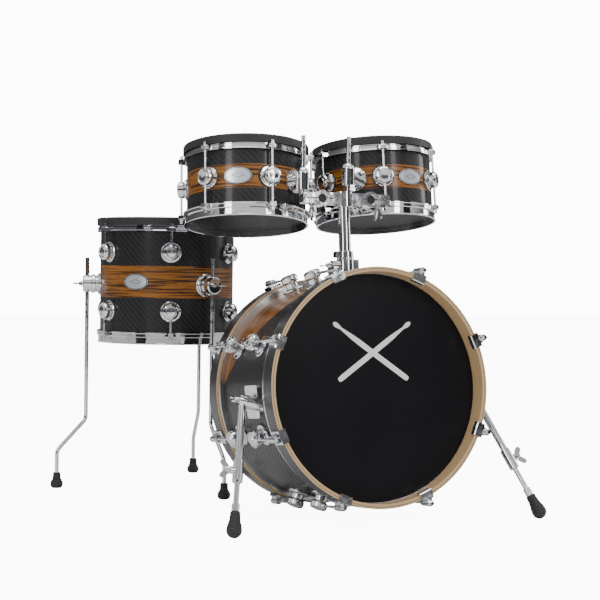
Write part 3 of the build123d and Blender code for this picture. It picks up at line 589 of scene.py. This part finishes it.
# %% [markdown]
# Every lug sits on a thin black gasket that keeps it off the lacquer, and the dark ring round the bright lug is one
# of the things that makes it look mounted. A gasket is a flat ring pressed against a curved wall, so it starts as
# a circle, is extruded outwards to a ring and up to its thickness, and each point is then lowered to the curve.

# %% Gaskets under the lugs
GASKET_R, GASKET_HOLE, GASKET_THICK = 0.0242, 0.011, 0.0009


def add_gasket(work, drum, angle, height):
    wall = DRUMS[drum]["radius"]
    inner = bmesh.ops.create_circle(work, segments=40, radius=GASKET_HOLE)["verts"]
    edges = list({e for v in inner for e in v.link_edges})
    faces = []
    for step in (0.6, 1.0):
        spread = bmesh.ops.extrude_edge_only(work, edges=edges)
        outer = [g for g in spread["geom"] if isinstance(g, bmesh.types.BMVert)]
        edges = [g for g in spread["geom"] if isinstance(g, bmesh.types.BMEdge)]
        faces += [g for g in spread["geom"] if isinstance(g, bmesh.types.BMFace)]
        size = GASKET_HOLE + (GASKET_R - GASKET_HOLE) * step
        for v in outer:
            v.co = v.co.normalized() * size
        edges = [e for e in edges if all(abs(v.co.length - size) < 1e-7 for v in e.verts)]
        inner = inner + outer
    lifted = bmesh.ops.extrude_face_region(work, geom=faces)
    top = [g for g in lifted["geom"] if isinstance(g, bmesh.types.BMVert)]
    for v in inner + top:
        v.co.z = (wall ** 2 - v.co.x ** 2) ** 0.5 - wall
    bmesh.ops.translate(work, verts=top, vec=(0, 0, GASKET_THICK))
    bmesh.ops.transform(work, matrix=on_wall(drum, angle, height, 0.00003), verts=inner + top)


for drum, facts in DRUMS.items():
    work = bmesh.new()
    for height in facts["lug_heights"]:
        for angle in facts["lug_angles"]:
            add_gasket(work, drum, angle, height)
    finish_piece(f"{drum}_gaskets", work, facts["body"], RUBBER)
print("gaskets on", len(DRUMS), "drums")

# %% [markdown]
# The two arm tubes end in black plugs just inside their mouths. A plug is a turned piece: half of its profile is
# drawn as a few points and spun once round the tube's axis.

# %% Plugs in the arm tubes
HOLDER_UP = Vector((0, sin(KICK_TILT), cos(KICK_TILT)))
HOLDER_BACK = Vector((0, cos(KICK_TILT), -sin(KICK_TILT)))
TUBE_BORE = 0.0089
ARM_REACH = {"left": 0.024, "right": 0.033}
MOUTH_BEHIND = 0.016


def spin_profile(points, axis_frame, steps=40):
    """Spins (radius, height) points round Z, then moves the shape to a frame."""
    work = bmesh.new()
    verts = [work.verts.new((r, 0, h)) for r, h in points]
    edges = [work.edges.new(pair) for pair in zip(verts, verts[1:])]
    bmesh.ops.spin(work, geom=verts + edges, cent=(0, 0, 0), axis=(0, 0, 1), angle=2 * pi,
                   steps=steps, use_merge=True, use_duplicate=False)
    bmesh.ops.remove_doubles(work, verts=work.verts, dist=1e-6)
    bmesh.ops.transform(work, matrix=axis_frame, verts=work.verts)
    return work


for side in ("left", "right"):
    ball = next(j for j in frame["joints"] if j["name"] == f"rod_{side}_tilt")["pos_m"]
    mouth = Vector(ball) - HOLDER_BACK * (ARM_REACH[side] + MOUTH_BEHIND)
    turn = Matrix((Vector((1, 0, 0)), -HOLDER_UP, HOLDER_BACK)).transposed().to_4x4()
    turn.translation = mouth
    profile = [(0, 0.0042), (0.006, 0.0042), (0.0068, 0.003), (0.0078, 0.0026), (TUBE_BORE - 0.00005, 0.003),
               (TUBE_BORE - 0.00005, 0.008), (0, 0.008)]
    finish_piece(f"arm_plug_{side}", spin_profile(profile, turn), f"arm_{side}", RUBBER)

# %% [markdown]
# The front head carries a printed emblem. A pair of crossed drumsticks stands there: each stick is a
# flat strip that tapers to a neck, with a rounded bead, printed in pale ink a fraction of a millimetre thick.

# %% Printed sticks on the front head
INK, ink_tree, ink_shader, ink_place = new_material("pale ink", Roughness=0.5)
ink_noise = put(ink_tree, "ShaderNodeTexNoise", {"Vector": ink_place, "Scale": 300.0, "Detail": 3.0})
ink_tree.links.new(
    blend(ink_tree, ink_noise.outputs[0], (0.70, 0.72, 0.71, 1), (0.80, 0.82, 0.81, 1)),
    ink_shader.inputs["Base Color"],
)
STICK = [(-0.095, 0.0030), (-0.093, 0.0048), (-0.085, 0.0056), (0.035, 0.0056), (0.055, 0.0050),
         (0.080, 0.0028), (0.087, 0.0024), (0.092, 0.0040), (0.098, 0.0050), (0.103, 0.0040), (0.106, 0.0016)]
INK_THICK, INK_GAP = 0.00025, 0.00005
EMBLEM_UP = 0.070
STICK_LEANS = (35, 145)
FILM_PROUD = 0.00062


def add_stick(work, lean, layer):
    """One strip of quads along X whose half width follows STICK, leaned and lifted."""
    grid = bmesh.ops.create_grid(work, x_segments=len(STICK) - 1, y_segments=1, size=1.0)
    verts = grid["verts"]
    for v in verts:
        i = round((v.co.x + 1) / 2 * (len(STICK) - 1))
        v.co = Vector((STICK[i][0], STICK[i][1] * (1 if v.co.y > 0 else -1), 0))
    faces = list({f for v in verts for f in v.link_faces})
    up = bmesh.ops.extrude_face_region(work, geom=faces)
    top = [g for g in up["geom"] if isinstance(g, bmesh.types.BMVert)]
    bmesh.ops.translate(work, verts=top, vec=(0, 0, INK_THICK))
    everything = list({*verts, *top})
    bmesh.ops.rotate(work, verts=everything, matrix=Matrix.Rotation(radians(lean), 3, "Z"))
    bmesh.ops.translate(work, verts=everything, vec=(0, EMBLEM_UP, layer))


work = bmesh.new()
film_front = DRUMS["kick"]["depth"] / 2 + FILM_PROUD
for layer, lean in enumerate(STICK_LEANS):
    add_stick(work, lean, film_front + layer * (INK_THICK + INK_GAP))
bmesh.ops.transform(work, matrix=DRUMS["kick"]["frame"], verts=work.verts)
finish_piece("printed_sticks", work, "kick_drum", INK)

# %% [markdown]
# The stage is a pale floor that runs back under soft light. Two dark cards that the camera can't see give it
# dark ones, because a mirror that sees only white looks grey. The sky is banded too, for the same reason. For
# the camera alone, the floor glows and the sky is plain white, so that the two meet without a hard line.

# %% Floor, light and camera


def flat_card(name, size, place, facing, material):
    work = bmesh.new()
    bmesh.ops.create_grid(work, x_segments=1, y_segments=1, size=0.5)
    bmesh.ops.scale(work, verts=work.verts, vec=(size[0], size[1], 1))
    turn = Vector(facing).to_track_quat("Z", "Y").to_matrix().to_4x4()
    turn.translation = place
    bmesh.ops.transform(work, matrix=turn, verts=work.verts)
    mesh = bpy.data.meshes.new(name)
    work.to_mesh(mesh)
    work.free()
    mesh.materials.append(material)
    card = bpy.data.objects.new(name, mesh)
    bpy.context.scene.collection.objects.link(card)
    return card


BACKDROP, FLOOR_GLOW = 12.0, 10.0
PALE, pale_tree, pale_shader, pale_place = new_material("pale floor", Roughness=0.85)
pale_noise = put(pale_tree, "ShaderNodeTexNoise", {"Vector": pale_place, "Scale": 2.0, "Detail": 2.0})
pale_tree.links.new(
    blend(pale_tree, pale_noise.outputs[0], (0.93, 0.93, 0.93, 1), (0.95, 0.95, 0.95, 1)),
    pale_shader.inputs["Base Color"],
)
pale_shader.inputs["Emission Color"].default_value = (1, 1, 1, 1)
glow = calc(pale_tree, "MULTIPLY", put(pale_tree, "ShaderNodeLightPath").outputs["Is Camera Ray"], FLOOR_GLOW)
pale_tree.links.new(glow, pale_shader.inputs["Emission Strength"])
DARK, *_ = new_material("dark card", Base_Color=(0.01, 0.01, 0.01, 1), Roughness=1.0)
flat_card("floor", (24, 24), (0, 0, -0.0005), (0, 0, 1), PALE)
for name, place, size in (
    ("dark_card_left", (-3.6, -1.6, 0.9), (1.2, 2.4)),
    ("dark_card_right", (2.4, -3.0, 0.9), (1.0, 2.4)),
):
    card = flat_card(name, size, place, Vector((0, 0, 0.5)) - Vector(place), DARK)
    card.visible_camera = False
    card.visible_diffuse = False
    card.visible_shadow = False

world = bpy.data.worlds.new("studio")
bpy.context.scene.world = world
world.use_nodes = True
sky = world.node_tree
direction = put(sky, "ShaderNodeTexCoord").outputs["Generated"]
height = put(sky, "ShaderNodeSeparateXYZ", {0: direction}).outputs[2]
bands = put(sky, "ShaderNodeValToRGB", {0: height})
ramp = bands.color_ramp
ramp.elements[0].position, ramp.elements[0].color = 0.0, (0.10, 0.10, 0.11, 1)
ramp.elements[1].position, ramp.elements[1].color = 1.0, (0.8, 0.8, 0.8, 1)
for position, value in ((0.10, 0.10), (0.22, 0.16), (0.32, 0.8), (0.55, 1.1), (0.75, 0.4)):
    stop = ramp.elements.new(position)
    stop.color = (value, value, value, 1)
seen = put(sky, "ShaderNodeLightPath").outputs["Is Camera Ray"]
sky.links.new(blend(sky, seen, bands.outputs[0], (BACKDROP, BACKDROP, BACKDROP, 1)),
              sky.nodes["Background"].inputs["Color"])


def soft_light(name, place, size, power, aim=(0, 0, 0.4)):
    data = bpy.data.lights.new(name, "AREA")
    data.shape = "RECTANGLE"
    data.size, data.size_y = size
    data.energy = power
    light = bpy.data.objects.new(name, data)
    light.location = place
    light.rotation_euler = (Vector(aim) - Vector(place)).to_track_quat("-Z", "Y").to_euler()
    bpy.context.scene.collection.objects.link(light)


soft_light("overhead", (0.0, -0.3, 3.0), (2.2, 2.2), 48)
soft_light("left_front", (-2.9, -1.9, 1.7), (0.7, 2.0), 26)
soft_light("right_front", (1.1, -3.4, 1.9), (0.6, 1.8), 24)
soft_light("right_side", (3.0, -0.2, 1.5), (0.6, 1.8), 22)

CAMERA_PLACE = (-1.3611, -3.1231, 0.5048)
CAMERA_AROUND, CAMERA_DOWN, CAMERA_ROLL = radians(-24.5), radians(1.15), radians(0.76)
camera_data = bpy.data.cameras.new("camera")
camera_data.sensor_width = 36
camera_data.lens = 93.0
camera_data.clip_end = 60
camera = bpy.data.objects.new("camera", camera_data)
bpy.context.scene.collection.objects.link(camera)
forward = Vector((
    -sin(CAMERA_AROUND) * cos(CAMERA_DOWN), cos(CAMERA_AROUND) * cos(CAMERA_DOWN), -sin(CAMERA_DOWN),
))
right = Vector((cos(CAMERA_AROUND), sin(CAMERA_AROUND), 0))
upward = right.cross(forward)
right_rolled = right * cos(CAMERA_ROLL) + upward * sin(CAMERA_ROLL)
up_rolled = upward * cos(CAMERA_ROLL) - right * sin(CAMERA_ROLL)
turn = Matrix((right_rolled, up_rolled, -forward)).transposed().to_4x4()
turn.translation = CAMERA_PLACE
camera.matrix_world = turn
bpy.context.scene.camera = camera
print("pieces added:", len(made))
